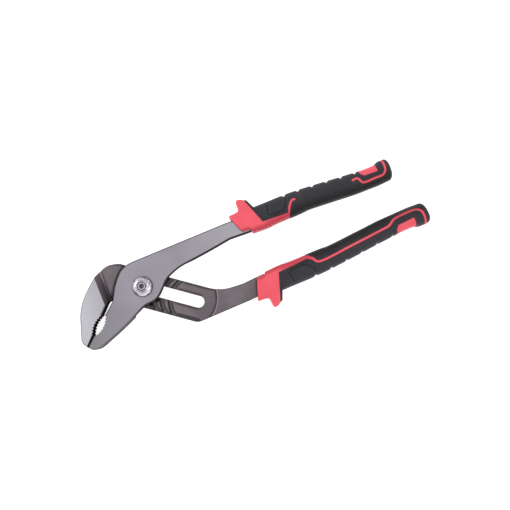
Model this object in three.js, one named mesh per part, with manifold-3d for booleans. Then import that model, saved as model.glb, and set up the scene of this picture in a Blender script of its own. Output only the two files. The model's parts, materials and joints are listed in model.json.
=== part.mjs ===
// Water pump pliers: two forged levers on a bolt that slides in a slot, with two-colour grips.
// Millimetres. The drawing origin is the pivot at rest, the handles run along +X and the front faces +Z.

import * as THREE from 'three';
import { mergeVertices } from 'three/addons/utils/BufferGeometryUtils.js';
import Module from 'manifold-3d';

const wasm = await Module();
wasm.setup();

const degree = Math.PI / 180;

// Forged stock
const STOCK = 11;
const EDGE = 0.7;
const RUNNING_GAP = 0.3;
const ARM_OVERLAP = 1.2;

// Slotted bar of the rear lever, measured along and across the slot
const SLOT_ANGLE = -37.5;
const SLOT_WIDTH = 8.1;
const SLOT_OVERRUN = 3.2;
const BAR_UPPER = 11;
const BAR_LOWER = 13.8;
const BAR_CHAMFER = 2;
const BAR_LEAD = 1;
const BAR_START_SOFT = 2;
const BAR_ROOT_SOFT = 4;
const STEP_RADIUS = 19.5;
const STEP_BACK = 4.3;
const STEP_RAMP = 0.8;

// Grooves in the bar and the tongue that drops into them
const POSITIONS = 7;
const PITCH = 6;
const TONGUE_RADIUS = 16.5;
const TONGUE_WIDTH = 2.6;
const TONGUE_DEPTH = 1.6;
const TONGUE_START = 10;
const TONGUE_END = 45;
const GROOVE_CLEARANCE = 0.25;
const GROOVE_SPREAD = 64;

// Jaws, measured along the closing line from its inner corner and across it
const JAW_CORNER = [-23, -1.4];
const JAW_ANGLE = 220.8;
const JAW_LENGTH = 34.9;
const JAW_GAP = 0.3;
const JAW_RELIEF_REAR = 2.7;
const JAW_RELIEF_FRONT = 0.5;
const JAW_CORNER_SOFT = 1.5;
const REAR_TIP_WIDTH = 5;
const REAR_TIP_SLANT = 0.6;
const REAR_TIP_SOFT = 3;
const FRONT_TIP_WIDTH = 4.4;
const FRONT_TIP_SOFT = 1.8;
const REAR_JAW_BACK = [[12.8, 18.1, 10], [-8.5, 18.7, 9], [-19.5, 16.6, 7], [-25.2, 8.6, 4]];
const FRONT_JAW_BACK = [[31.8, -7.8, 3], [10.1, -16.3, 12]];
const RAMP_FOOT = -23.2;
const RAMP_RUN = 5.1;

// Pipe grip of the jaws
const PIPE_RADIUS = 15.5;
const PIPE_MIDDLE = 18.2;
const PIPE_DEPTH_REAR = 3.7;
const PIPE_DEPTH_FRONT = 3.6;
const PIPE_HALF_ANGLE = 31;
const TOOTH_COUNT = 8;
const TOOTH_DEPTH = 0.9;

// Front lever: head round the pivot, throat and arm
const HEAD_RADIUS = 18.5;
const HEAD_SIDES = 8;
const HEAD_LOWER = 12.2;
const HEAD_LOWER_START = -3;
const HEAD_LOWER_SOFT = 4;
const HEAD_LEFT = [[-17.2, 8.2, 6], [-20.2, 2.6, 3]];
const THROAT = [[17.5, -1, 3], [27.5, 2.9, 6], [52, 5.4, 14]];
const THROAT_RELIEF = 1.5;
const THROAT_RELIEF_START = 12;
const FRONT_ARM_MIDDLE = 12.8;
const FRONT_ARM_DEEP_START = 32;
const DEEP_RAMP = 6;
const OPEN_STOP = 48;
const SHOULDER_CLEARANCE = 0.4;

// Rear lever: arm below the slot end
const REAR_ARM_DROP = 5.9;
const REAR_ARM_WIDTH = 14.2;
const BAR_CORNER_SOFT = 2.5;
const ARM_CORNER_SOFT = 9;

// Pivot bolt and nut
const SHANK_CLEARANCE = 0.3;
const SEAT_GAP = 0.2;
const BOLT_HEAD_RADIUS = 6.6;
const BOLT_HEAD_HEIGHT = 2.8;
const BOLT_END_RADIUS = 2.6;
const BOLT_END_RISE = 3.9;
const BOLT_RECESS_RADIUS = 1.65;
const BOLT_RECESS_DEPTH = 1.5;
const NUT_RADIUS = 6.8;
const NUT_RIM = 1.3;
const NUT_DOME = 3.2;
const NUT_LAND_RADIUS = 4.6;
const NUT_RING_WALL = 0.7;
const NUT_RING_RISE = 0.6;
const NUT_TAB_REACH = 5.8;

// Grips, measured along the tang from the collar and across it, with the outer side positive
const FRONT_GRIP_TOE = 2.8;
const REAR_GRIP_TOE = 3.1;
const FRONT_GRIP_START = 75.5;
const REAR_GRIP_START = 72.2;
const FRONT_GRIP_LENGTH = 114;
const REAR_GRIP_LENGTH = 129;
const GRIP_HALF = 8.5;
const COLLAR_LEAN = 22;
const COLLAR_HALF = 7.4;
const COLLAR_OUTER = 9.4;
const COLLAR_ROUND = 3;
const COLLAR_BARE = 0.5;
const COLLAR_STEP = 5.8;
const COLLAR_INNER = -6.9;
const GUARD_BACK = 16.3;
const GUARD_OUTER = 18.1;
const SKIRT = 1.6;
const SKIRT_RISE = 0.3;
const SKIRT_FILLET = 0.5;
const COVER_WALL = 1.8;
const FIT = 0.3;
const INLAY_WIDTH = 1.5;
const NOTCH_DEPTH = 1.3;
const NOTCH_HALF = 1.8;
const FINGER_COUNT = 5;
const FINGER_START = 0.195;
const FINGER_END = 0.735;

// Tang inside each grip
const FRONT_TANG_HALF = 5.6;
const REAR_TANG_HALF = 6.2;
const TANG_LEAD = 8;
const TANG_SHOULDER = 7.4;
const TANG_TOP = 3.6;
const TANG_NECK = 18.5;
const TANG_END_WALL = 14;
const TANG_NECK_INNER = -1.2;
const TANG_NECK_OUTER = 5.2;
const TANG_END_INNER = 0.8;
const TANG_END_OUTER = 4.4;

// Outer edge of the collar, the guard and the cover's skirt behind it: place along and distance across
const GUARD_PROFILE = [
  [EDGE, COLLAR_OUTER], [COLLAR_STEP, 9.9], [COLLAR_STEP + EDGE, 10.1], [7.9, 10.6], [9.6, 13.2], [11, 16.8],
  [12.8, GUARD_OUTER], [14.8, 17.9], [GUARD_BACK, 16.7], [GUARD_BACK + SKIRT, 16],
];

// Body of a grip: share of its length, inner edge, outer edge, half thickness, corner radius
const BODY_STATIONS = [
  [0, -7, 9.7, GRIP_HALF, 4.5],
  [0.08, -6.2, 10.2, GRIP_HALF, 5],
  [0.19, -5.7, 10.9, GRIP_HALF, 5.5],
  [0.27, -5.2, 11, GRIP_HALF, 5.5],
  [0.35, -4.4, 10.8, GRIP_HALF, 5.5],
  [0.5, -4.7, 10.2, GRIP_HALF, 5.5],
  [0.62, -5, 9.6, GRIP_HALF, 5.5],
  [0.68, -5.4, 9.4, GRIP_HALF, 5.5],
  [0.8, -5.1, 9.1, GRIP_HALF, 5.5],
  [0.89, -4.8, 9.6, GRIP_HALF, 5.5],
  [0.915, -4.6, 10.8, GRIP_HALF, 5.5],
  [0.955, -4.2, 11.2, GRIP_HALF - 0.4, 5.5],
  [0.985, -2.9, 10.4, GRIP_HALF - 1.6, 5],
  [1, -0.4, 8.2, GRIP_HALF - 4, 3.8],
];

// Red inlays of a grip: share of the body length and distance across it
const BAND_END = 0.187;
const BAND_EDGE = -2.3;
const HOOK_LINE = [[0.18, -4.5], [0.201, 0.6], [0.233, 4.6], [0.262, 4.8]];
const TAIL_LINE = [
  [0.69, 3.6], [0.732, 3.9], [0.755, 0.6], [0.78, -0.4], [0.85, 0], [0.915, 0.4],
  [0.943, 3], [0.948, 7.5], [0.942, 14],
];
const LONG_LINE = [
  [0.17, -5.2], [0.213, -1], [0.256, 3.3], [0.467, 2.8], [0.69, 2], [0.732, 1.5], [0.76, -0.3],
  [0.787, -1.2], [0.862, -1.3], [0.92, -0.7], [0.949, 1.8], [0.953, 6], [0.944, 14],
];
const PAD_START = 0.762;
const PAD_END = 0.89;
const PAD_EDGE = 4;
const PAD_SLANT = 2.4;
const PAD_SOFT = 1;
const INLAY_FLOOR = 1;

// Facets and helper lengths
const CORNER_STEPS = 8;
const ARC_STEPS = 10;
const ROUND_STEPS = 32;
const SECTION_STEPS = 3;
const INLAY_STEPS = 3;
const SOFT_LIMIT = 0.49;
const LEAST_ROUND = 0.4;
const LEAST_FLAT = 0.2;
const CUT_MARGIN = 1;
const WELD = 1e-4;
const FAR = 300;

// Heights on the stock and lengths on the slot that follow from the sizes above
const half = STOCK / 2;
const matingFront = RUNNING_GAP / 2;
const matingRear = -RUNNING_GAP / 2;
const travel = (POSITIONS - 1) * PITCH;
const slotEnd = travel + SLOT_OVERRUN;
const shankRadius = SLOT_WIDTH / 2 - SHANK_CLEARANCE;
const bodyStart = GUARD_BACK + SKIRT + SKIRT_FILLET;
const rearArmMiddle = slotEnd * Math.sin(SLOT_ANGLE * degree) - REAR_ARM_DROP;

// Places on the slotted bar and on the jaws, in the plan of the tool
function turned(along, across, angle) {
  return new THREE.Vector2(along, across).rotateAround(new THREE.Vector2(), angle).toArray();
}

function onBar(along, across, turnBack = 0) {
  return turned(along, across, (SLOT_ANGLE - turnBack) * degree);
}

function onJaw(along, across) {
  const [x, y] = turned(along, -across, JAW_ANGLE * degree);
  return [JAW_CORNER[0] + x, JAW_CORNER[1] + y];
}

// Frames of the two handles: the rear grip is the front grip turned over about its length
const frontHandle = {
  x: FRONT_GRIP_START,
  y: FRONT_ARM_MIDDLE,
  toe: -FRONT_GRIP_TOE * degree,
  side: 1,
  length: FRONT_GRIP_LENGTH,
  tangHalf: FRONT_TANG_HALF,
};
const rearHandle = {
  x: REAR_GRIP_START,
  y: rearArmMiddle,
  toe: REAR_GRIP_TOE * degree,
  side: -1,
  length: REAR_GRIP_LENGTH,
  tangHalf: REAR_TANG_HALF,
};

function onHandle(handle, along, across) {
  const [x, y] = turned(along, handle.side * across, handle.toe);
  return [handle.x + x, handle.y + y];
}

// Solids from geometry, and geometry from solids
function solid(geometry) {
  const plain = geometry.clone();
  plain.deleteAttribute('normal');
  plain.deleteAttribute('uv');
  const merged = mergeVertices(plain, WELD);
  return new wasm.Manifold(new wasm.Mesh({
    numProp: 3,
    vertProperties: new Float32Array(merged.attributes.position.array),
    triVerts: new Uint32Array(merged.index.array),
  }));
}

function geometryOf(body) {
  const mesh = body.getMesh();
  const geometry = new THREE.BufferGeometry();
  geometry.setAttribute('position', new THREE.BufferAttribute(mesh.vertProperties.slice(), 3));
  geometry.setIndex(new THREE.BufferAttribute(mesh.triVerts.slice(), 1));
  geometry.computeVertexNormals();
  return geometry;
}

// A closed outline through corners [x, y, soft], each rounded over its own soft length
function outline(corners) {
  const shape = new THREE.Shape();
  const points = corners.map(([x, y]) => new THREE.Vector2(x, y));
  corners.forEach(([x, y, soft = 0], index) => {
    const here = points[index];
    const before = points.at(index - 1);
    const after = points[(index + 1) % points.length];
    const [enter, exit] = [before, after].map((neighbour) => {
      const length = Math.min(soft, here.distanceTo(neighbour) * SOFT_LIMIT);
      return neighbour.clone().sub(here).setLength(length).add(here);
    });
    if (index === 0) {
      shape.moveTo(enter.x, enter.y);
    } else {
      shape.lineTo(enter.x, enter.y);
    }
    if (soft > 0) {
      shape.quadraticCurveTo(x, y, exit.x, exit.y);
    }
  });
  shape.closePath();
  return shape;
}

// A prism of an outline between two heights, with chamfered rims if an edge is given
function prism(shape, low, high, edge = 0, curveSegments = CORNER_STEPS) {
  const geometry = new THREE.ExtrudeGeometry(shape, {
    depth: high - low - 2 * edge,
    curveSegments,
    bevelEnabled: edge > 0,
    bevelThickness: edge,
    bevelSize: edge,
    bevelOffset: -edge,
    bevelSegments: 1,
  });
  geometry.translate(0, 0, low + edge);
  return solid(geometry);
}

// A prism along Y of a profile drawn in X and Z
function crossPrism(profile) {
  const geometry = new THREE.ExtrudeGeometry(outline(profile), { depth: 2 * FAR, bevelEnabled: false });
  geometry.translate(0, 0, -FAR);
  geometry.rotateX(Math.PI / 2);
  return solid(geometry);
}

function cylinder(x, y, radius, low, high, topRadius = radius) {
  const geometry = new THREE.CylinderGeometry(topRadius, radius, high - low, ROUND_STEPS);
  geometry.rotateX(Math.PI / 2);
  geometry.translate(x, y, (low + high) / 2);
  return solid(geometry);
}

// A band of a ring between two radii and two angles
function ringSector(x, y, inner, outer, from, to, low, high) {
  const shape = new THREE.Shape();
  shape.absarc(x, y, outer, from, to, false);
  shape.absarc(x, y, inner, to, from, true);
  shape.closePath();
  return prism(shape, low, high, 0, ARC_STEPS);
}

// A skin over rings with equal numbers of points, closed by a fan at each end
function loft(rings) {
  const count = rings[0].length;
  const points = rings.flat();
  const triangles = [];
  rings.slice(1).forEach((ring, row) => {
    for (let column = 0; column < ring.length; column += 1) {
      const next = (column + 1) % count;
      const [a, b] = [row * count + column, row * count + next];
      const [c, d] = [a + count, b + count];
      triangles.push(a, b, d, a, d, c);
    }
  });
  [0, rings.length - 1].forEach((row) => {
    const centre = rings[row].reduce((sum, point) => sum.add(point), new THREE.Vector3());
    const hub = points.push(centre.divideScalar(count)) - 1;
    for (let column = 0; column < count; column += 1) {
      const [a, b] = [row * count + column, row * count + ((column + 1) % count)];
      triangles.push(...(row === 0 ? [hub, b, a] : [hub, a, b]));
    }
  });
  const geometry = new THREE.BufferGeometry().setFromPoints(points);
  geometry.setIndex(triangles);
  return solid(geometry);
}

// Toothed cutter for the pipe grip of one jaw
function pipeCutter(side, depth) {
  const centre = side * (depth - PIPE_RADIUS);
  const step = (2 * PIPE_HALF_ANGLE * degree) / (2 * TOOTH_COUNT);
  const reach = PIPE_RADIUS * Math.sin(PIPE_HALF_ANGLE * degree);
  const corners = [onJaw(PIPE_MIDDLE + reach, centre), onJaw(PIPE_MIDDLE - reach, centre)];
  for (let tooth = 0; tooth <= 2 * TOOTH_COUNT; tooth += 1) {
    const angle = tooth * step - PIPE_HALF_ANGLE * degree;
    const radius = PIPE_RADIUS - (tooth % 2 === 0 ? TOOTH_DEPTH : 0);
    const along = PIPE_MIDDLE + radius * Math.sin(angle);
    corners.push(onJaw(along, centre + side * radius * Math.cos(angle)));
  }
  return prism(outline(corners), -STOCK, STOCK);
}

// Corners of the tang, from one side of the collar round its end to the other
function tangCorners(handle, grow = 0) {
  const end = handle.length - TANG_END_WALL + grow;
  return [
    [-TANG_LEAD, -handle.tangHalf - grow],
    [TANG_SHOULDER, -handle.tangHalf - grow],
    [TANG_NECK, TANG_NECK_INNER - grow],
    [end, TANG_END_INNER - grow],
    [end, TANG_END_OUTER + grow],
    [TANG_NECK, TANG_NECK_OUTER + grow],
    [TANG_SHOULDER, handle.tangHalf + grow],
    [-TANG_LEAD, handle.tangHalf + grow],
  ];
}

// What is cut away above the thin part of a tang
function tangStep(handle) {
  const corners = [
    onHandle(handle, TANG_SHOULDER, -STOCK),
    onHandle(handle, handle.length, -STOCK),
    onHandle(handle, handle.length, STOCK),
    onHandle(handle, TANG_SHOULDER, STOCK),
  ];
  return handle.side > 0
    ? prism(outline(corners), TANG_TOP, STOCK)
    : prism(outline(corners), -STOCK, -TANG_TOP);
}

// Front lever: jaw, head, arm and tang in one outline, then the joint is cut on its back
function frontLever() {
  const facet = HEAD_RADIUS * Math.tan(Math.PI / HEAD_SIDES);
  const tang = tangCorners(frontHandle).map(([along, across]) => onHandle(frontHandle, along, across));
  const shape = outline([
    [...onJaw(0, -JAW_RELIEF_FRONT), JAW_CORNER_SOFT],
    onJaw(JAW_LENGTH, -JAW_GAP / 2),
    [...onJaw(JAW_LENGTH, -FRONT_TIP_WIDTH), FRONT_TIP_SOFT],
    ...FRONT_JAW_BACK.map(([along, across, soft]) => [...onJaw(along, across), soft]),
    [HEAD_LOWER_START, -HEAD_LOWER, HEAD_LOWER_SOFT],
    [HEAD_LOWER / 2, -HEAD_LOWER, HEAD_LOWER / 2],
    ...THROAT,
    ...tang,
    [HEAD_RADIUS / 2, HEAD_RADIUS, 0],
    [-facet, HEAD_RADIUS, facet],
    ...HEAD_LEFT,
  ]);
  const deepEnd = FRONT_ARM_DEEP_START + DEEP_RAMP;
  const reliefEnd = THROAT_RELIEF_START + THROAT_RELIEF;
  const underside = crossPrism([
    [-FAR, matingFront], [THROAT_RELIEF_START, matingFront], [reliefEnd, THROAT_RELIEF],
    [FRONT_ARM_DEEP_START, THROAT_RELIEF], [deepEnd, -ARM_OVERLAP], [FAR, -ARM_OVERLAP],
    [FAR, -STOCK], [-FAR, -STOCK],
  ]);
  const tongue = ringSector(
    0, 0, TONGUE_RADIUS - TONGUE_WIDTH / 2, TONGUE_RADIUS + TONGUE_WIDTH / 2,
    (180 + SLOT_ANGLE + TONGUE_START) * degree, (180 + SLOT_ANGLE + TONGUE_END) * degree,
    matingFront - TONGUE_DEPTH, half - EDGE,
  );
  return prism(shape, -half, half, EDGE)
    .subtract(underside.subtract(jawShoulder()))
    .add(tongue)
    .subtract(pipeCutter(-1, PIPE_DEPTH_FRONT))
    .subtract(cylinder(0, 0, SLOT_WIDTH / 2, -STOCK, STOCK))
    .subtract(tangStep(frontHandle));
}

// The full-thickness part of the front jaw: below the bar when shut and when wide open
function jawShoulder() {
  const level = -BAR_LOWER - SHOULDER_CLEARANCE;
  const [shut, open] = [0, OPEN_STOP].map((opening) => prism(outline([
    onBar(-FAR, level, opening),
    onBar(FAR, level, opening),
    onBar(FAR, -FAR, opening),
    onBar(-FAR, -FAR, opening),
  ]), -STOCK, STOCK));
  return shut.intersect(open);
}

// Rear lever: jaw, slotted bar, arm and tang in one outline, then the front of the bar is cut down
function rearLever() {
  const armLower = rearArmMiddle - REAR_ARM_WIDTH / 2;
  const armUpper = rearArmMiddle + REAR_ARM_WIDTH / 2;
  const tilt = SLOT_ANGLE * degree;
  const cornerX = (across, y) => (across - y * Math.cos(tilt)) / -Math.sin(tilt);
  const tang = tangCorners(rearHandle).map(([along, across]) => onHandle(rearHandle, along, across));
  const shape = outline([
    onJaw(JAW_LENGTH, JAW_GAP / 2),
    [...onJaw(JAW_CORNER_SOFT, JAW_RELIEF_REAR), JAW_CORNER_SOFT],
    [...onBar(-TONGUE_RADIUS - BAR_LEAD, -BAR_LOWER), BAR_START_SOFT],
    [cornerX(-BAR_LOWER, armLower), armLower, BAR_CORNER_SOFT],
    ...tang.reverse(),
    [cornerX(BAR_UPPER, armUpper), armUpper, ARM_CORNER_SOFT],
    [...onBar(BAR_LEAD - TONGUE_RADIUS, BAR_UPPER), BAR_ROOT_SOFT],
    ...REAR_JAW_BACK.toReversed().map(([along, across, soft]) => [...onJaw(along, across), soft]),
    [...onJaw(JAW_LENGTH - REAR_TIP_SLANT, REAR_TIP_WIDTH), REAR_TIP_SOFT],
  ]);
  const rampTop = RAMP_FOOT - (RAMP_RUN * (STOCK - matingRear)) / (half - matingRear);
  const front = crossPrism([[RAMP_FOOT, matingRear], [FAR, matingRear], [FAR, STOCK], [rampTop, STOCK]]);
  const stepCentre = travel - STEP_BACK;
  const stepRise = ARM_OVERLAP - matingRear;
  const stepWall = cylinder(
    ...onBar(stepCentre, 0), STEP_RADIUS - STEP_RAMP, matingRear - stepRise, ARM_OVERLAP + stepRise,
    STEP_RADIUS + 2 * STEP_RAMP,
  );
  const armFace = prism(outline([
    onBar(stepCentre, -FAR), onBar(FAR, -FAR), onBar(FAR, FAR), onBar(stepCentre, FAR),
  ]), matingRear - stepRise, ARM_OVERLAP).subtract(stepWall);
  return prism(shape, -half, half, EDGE)
    .subtract(front.subtract(armFace))
    .subtract(slotCutter())
    .subtract(grooveCutter())
    .subtract(barChamfer())
    .subtract(pipeCutter(1, PIPE_DEPTH_REAR))
    .subtract(tangStep(rearHandle));
}

function slotCutter() {
  const radius = SLOT_WIDTH / 2;
  const turn = SLOT_ANGLE * degree;
  const shape = new THREE.Shape();
  shape.absarc(...onBar(0, 0), radius, turn + Math.PI / 2, turn - Math.PI / 2, false);
  shape.absarc(...onBar(slotEnd, 0), radius, turn - Math.PI / 2, turn + Math.PI / 2, false);
  shape.closePath();
  return prism(shape, -STOCK, STOCK, 0, ARC_STEPS);
}

function grooveCutter() {
  const middle = 180 + SLOT_ANGLE;
  const halfWidth = TONGUE_WIDTH / 2 + GROOVE_CLEARANCE;
  const floor = matingFront - TONGUE_DEPTH - GROOVE_CLEARANCE;
  const start = -TONGUE_RADIUS - TONGUE_WIDTH;
  const bar = prism(outline([
    onBar(start, -BAR_LOWER - CUT_MARGIN),
    onBar(slotEnd, -BAR_LOWER - CUT_MARGIN),
    onBar(slotEnd, BAR_UPPER + CUT_MARGIN),
    onBar(start, BAR_UPPER + CUT_MARGIN),
  ]), -half, half);
  const grooves = [];
  for (let position = 0; position < POSITIONS; position += 1) {
    grooves.push(ringSector(
      ...onBar(position * PITCH, 0), TONGUE_RADIUS - halfWidth, TONGUE_RADIUS + halfWidth,
      (middle - GROOVE_SPREAD) * degree, (middle + GROOVE_SPREAD) * degree, floor, half,
    ));
  }
  return grooves.reduce((all, groove) => all.add(groove)).intersect(bar);
}

// Sloped strip along the lower front edge of the bar
function barChamfer() {
  const outside = -BAR_LOWER - CUT_MARGIN;
  const above = matingRear + CUT_MARGIN;
  const leg = BAR_CHAMFER + 2 * CUT_MARGIN;
  const profile = outline([[outside + leg, above], [outside, above], [outside, above - leg]]);
  const start = -TONGUE_RADIUS;
  const depth = slotEnd + SLOT_WIDTH / 2 - start;
  const geometry = new THREE.ExtrudeGeometry(profile, { depth, bevelEnabled: false });
  const [x, y, z] = [[1, 0, 0], [0, 1, 0], [0, 0, 1]].map((axis) => new THREE.Vector3(...axis));
  geometry.applyMatrix4(new THREE.Matrix4().makeBasis(y, z, x));
  geometry.translate(start, 0, 0);
  geometry.rotateZ(SLOT_ANGLE * degree);
  return solid(geometry);
}

// Pivot bolt: head behind the bar, shank in the slot, threaded end with a recess in the nut
function pivotBolt() {
  const seat = -half - SEAT_GAP;
  const shoulder = half - SEAT_GAP;
  const top = half + BOLT_END_RISE;
  const profile = [
    [0, seat - BOLT_HEAD_HEIGHT], [BOLT_HEAD_RADIUS - EDGE, seat - BOLT_HEAD_HEIGHT],
    [BOLT_HEAD_RADIUS, seat - BOLT_HEAD_HEIGHT + EDGE], [BOLT_HEAD_RADIUS, seat],
    [shankRadius, seat], [shankRadius, shoulder], [BOLT_END_RADIUS, shoulder],
    [BOLT_END_RADIUS, top], [BOLT_RECESS_RADIUS, top],
    [BOLT_RECESS_RADIUS, top - BOLT_RECESS_DEPTH], [0, top - BOLT_RECESS_DEPTH],
  ];
  return lathe(profile);
}

function lathe(profile) {
  const geometry = new THREE.LatheGeometry(profile.map(([r, z]) => new THREE.Vector2(r, z)), ROUND_STEPS);
  geometry.rotateX(Math.PI / 2);
  return solid(geometry);
}

// Pivot nut: domed disc with a raised ring that runs out into one pointed tab
function pivotNut() {
  const bore = BOLT_END_RADIUS + SHANK_CLEARANCE;
  const seat = half + SEAT_GAP;
  const land = seat + NUT_DOME;
  const middle = (NUT_RADIUS + NUT_LAND_RADIUS) / 2;
  const disc = lathe([
    [bore, seat], [NUT_RADIUS - EDGE / 2, seat], [NUT_RADIUS, seat + EDGE / 2], [NUT_RADIUS, seat + NUT_RIM],
    [middle, land - EDGE], [NUT_LAND_RADIUS, land], [bore, land], [bore, seat],
  ]);
  const ringRadius = bore + NUT_RING_WALL;
  const flank = Math.acos(ringRadius / NUT_TAB_REACH);
  const ring = new THREE.Shape();
  ring.absarc(0, 0, ringRadius, flank, 2 * Math.PI - flank, false);
  ring.lineTo(NUT_TAB_REACH, 0);
  ring.closePath();
  const raised = prism(ring, land - 2 * EDGE, land + NUT_RING_RISE, 0, ROUND_STEPS);
  return disc.add(raised).subtract(cylinder(0, 0, bore, 0, STOCK + NUT_DOME));
}

// Cross-section of a grip at a station: a rectangle with round corners, on a plane that may lean
function sectionRing(station, inset) {
  const [along, lean, inner, outer, thick, corner] = station;
  const low = inner + inset;
  const high = outer - inset;
  const rise = thick - inset;
  const most = Math.min((high - low) / 2, rise) - LEAST_FLAT;
  const radius = Math.max(Math.min(corner - inset, most), LEAST_ROUND);
  const ring = [];
  [[high, rise, 0], [low, rise, 1], [low, -rise, 2], [high, -rise, 3]].forEach(([v, w, quarter]) => {
    const centre = [v - Math.sign(v - (low + high) / 2) * radius, w - Math.sign(w) * radius];
    for (let step = 0; step <= SECTION_STEPS; step += 1) {
      const angle = (quarter + step / SECTION_STEPS) * (Math.PI / 2);
      const across = centre[0] + radius * Math.cos(angle);
      const height = centre[1] + radius * Math.sin(angle);
      ring.push(new THREE.Vector3(along - Math.tan(lean) * across, across, height));
    }
  });
  return ring;
}

function stationAt(share) {
  const after = Math.max(BODY_STATIONS.findIndex(([place]) => place >= share), 1);
  const [low, high] = [BODY_STATIONS[after - 1], BODY_STATIONS[after]];
  const blend = (share - low[0]) / (high[0] - low[0]);
  return low.map((value, column) => THREE.MathUtils.lerp(value, high[column], blend));
}

// Narrow notches between the finger rests along the outer edge: their shares and their depth at a share
const notchShares = Array.from({ length: FINGER_COUNT + 1 }, (_, index) => (
  THREE.MathUtils.lerp(FINGER_START, FINGER_END, index / FINGER_COUNT)
));

function fingerNotch(handle, share) {
  const away = notchShares.map((notch) => Math.abs(notch - share) * (handle.length - bodyStart));
  return NOTCH_DEPTH * Math.max(0, 1 - Math.min(...away) / NOTCH_HALF);
}

function bodyPlace(handle, share, inset = 0) {
  return THREE.MathUtils.lerp(bodyStart, handle.length - inset, share);
}

// Stations of the collar and guard, on leaning planes
function collarStations(handle) {
  const lean = COLLAR_LEAN * degree;
  const bare = COLLAR_BARE - handle.tangHalf;
  const rows = GUARD_PROFILE.map(([along, outer]) => {
    const inner = along > COLLAR_STEP ? COLLAR_INNER : bare;
    const rise = SKIRT_RISE * Math.max(0, along - GUARD_BACK) / SKIRT;
    return [along, lean, inner, outer, COLLAR_HALF + rise, COLLAR_ROUND];
  });
  const rim = [0, lean, bare + EDGE, COLLAR_OUTER - EDGE, COLLAR_HALF - EDGE, COLLAR_ROUND];
  return [rim, ...rows];
}

// Stations of the body, with extra ones where the finger notches need them
function bodyStations(handle, notched, inset = 0) {
  const shares = new Set(BODY_STATIONS.map(([share]) => share));
  if (notched) {
    const reach = NOTCH_HALF / (handle.length - bodyStart);
    const places = notchShares.flatMap((notch) => [notch - reach, notch, notch + reach]);
    places.forEach((share) => shares.add(share));
  }
  return [...shares].sort((a, b) => a - b).map((share) => {
    const [, inner, outer, thick, corner] = stationAt(share);
    const lean = COLLAR_LEAN * degree * Math.max(0, 1 - share / BODY_STATIONS[2][0]);
    const notch = notched ? fingerNotch(handle, share) : NOTCH_DEPTH;
    return [bodyPlace(handle, share, inset), lean, inner, outer - notch, thick, corner];
  });
}

function gripForm(handle) {
  return loft([...collarStations(handle), ...bodyStations(handle, true)].map((row) => sectionRing(row, 0)));
}

// The hollow of the cover, or with a larger inset the core that fills it
function coreForm(handle, inset) {
  const rows = bodyStations(handle, false, inset);
  const lead = [GUARD_BACK - SKIRT, ...rows[0].slice(1)];
  return loft([lead, ...rows].map((row) => sectionRing(row, inset)));
}

// Everything in front of, or behind, a leaning plane across the grip
function leaningCut(place, forward) {
  const side = 2 * GUARD_OUTER;
  const slope = Math.tan(COLLAR_LEAN * degree) * side;
  const far = forward ? -FAR : FAR;
  const corners = [[place + slope, -side], [place - slope, side], [far, side], [far, -side]];
  return prism(outline(corners), -FAR, FAR);
}

// A stroke of even width along a smooth line given in shares of the body
function stroke(handle, line, width) {
  const points = line.map(([share, across]) => new THREE.Vector2(bodyPlace(handle, share), across));
  const curve = new THREE.SplineCurve(points);
  const sides = [[], []];
  const steps = INLAY_STEPS * (line.length - 1);
  for (let step = 0; step <= steps; step += 1) {
    const here = curve.getPoint(step / steps);
    const across = curve.getTangent(step / steps).rotateAround(new THREE.Vector2(), Math.PI / 2);
    sides[0].push(here.clone().addScaledVector(across, width / 2).toArray());
    sides[1].unshift(here.clone().addScaledVector(across, -width / 2).toArray());
  }
  return outline(sides.flat());
}

// Where the red core comes up through the cover, grown by a clearance for the cover's cut-outs
function inlays(handle, grow) {
  const far = 2 * STOCK;
  const bandStart = GUARD_BACK - SKIRT;
  const bandEnd = bodyPlace(handle, BAND_END) + grow;
  const bandEdge = BAND_EDGE + grow;
  const band = outline([[bandStart, bandEdge], [bandEnd, bandEdge], [bandEnd, -far], [bandStart, -far]]);
  const padStart = bodyPlace(handle, PAD_START) - grow;
  const padEnd = bodyPlace(handle, PAD_END) + grow;
  const padEdge = PAD_EDGE - grow;
  const pad = outline([
    [padStart, far], [padStart, PAD_EDGE + PAD_SLANT, PAD_SOFT], [padStart + PAD_SLANT, padEdge, PAD_SOFT],
    [padEnd, padEdge, PAD_SOFT], [padEnd, far],
  ]);
  const width = INLAY_WIDTH + 2 * grow;
  const [hook, tail, long] = [HOOK_LINE, TAIL_LINE, LONG_LINE].map((line) => stroke(handle, line, width));
  const up = [hook, tail].map((shape) => prism(shape, INLAY_FLOOR - grow, far));
  const down = prism(long, -far, grow - INLAY_FLOOR);
  const through = [band, pad].map((shape) => prism(shape, -far, far));
  return [...up, down, ...through].reduce((all, part) => all.add(part));
}

function tangHole(handle) {
  const entry = outline([
    [-FAR, -handle.tangHalf - FIT], [TANG_SHOULDER + FIT, -handle.tangHalf - FIT],
    [TANG_SHOULDER + FIT, handle.tangHalf + FIT], [-FAR, handle.tangHalf + FIT],
  ]);
  const bottom = -ARM_OVERLAP - FIT;
  return prism(entry, bottom, half + FIT)
    .add(prism(outline(tangCorners(handle, FIT)), bottom, TANG_TOP + FIT));
}

function gripCore(handle) {
  const form = gripForm(handle);
  return form.intersect(leaningCut(GUARD_BACK, true).add(inlays(handle, 0)))
    .add(coreForm(handle, COVER_WALL + FIT))
    .subtract(tangHole(handle));
}

function gripCover(handle) {
  return gripForm(handle)
    .intersect(leaningCut(GUARD_BACK + FIT, false))
    .subtract(inlays(handle, FIT))
    .subtract(coreForm(handle, COVER_WALL));
}

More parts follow.
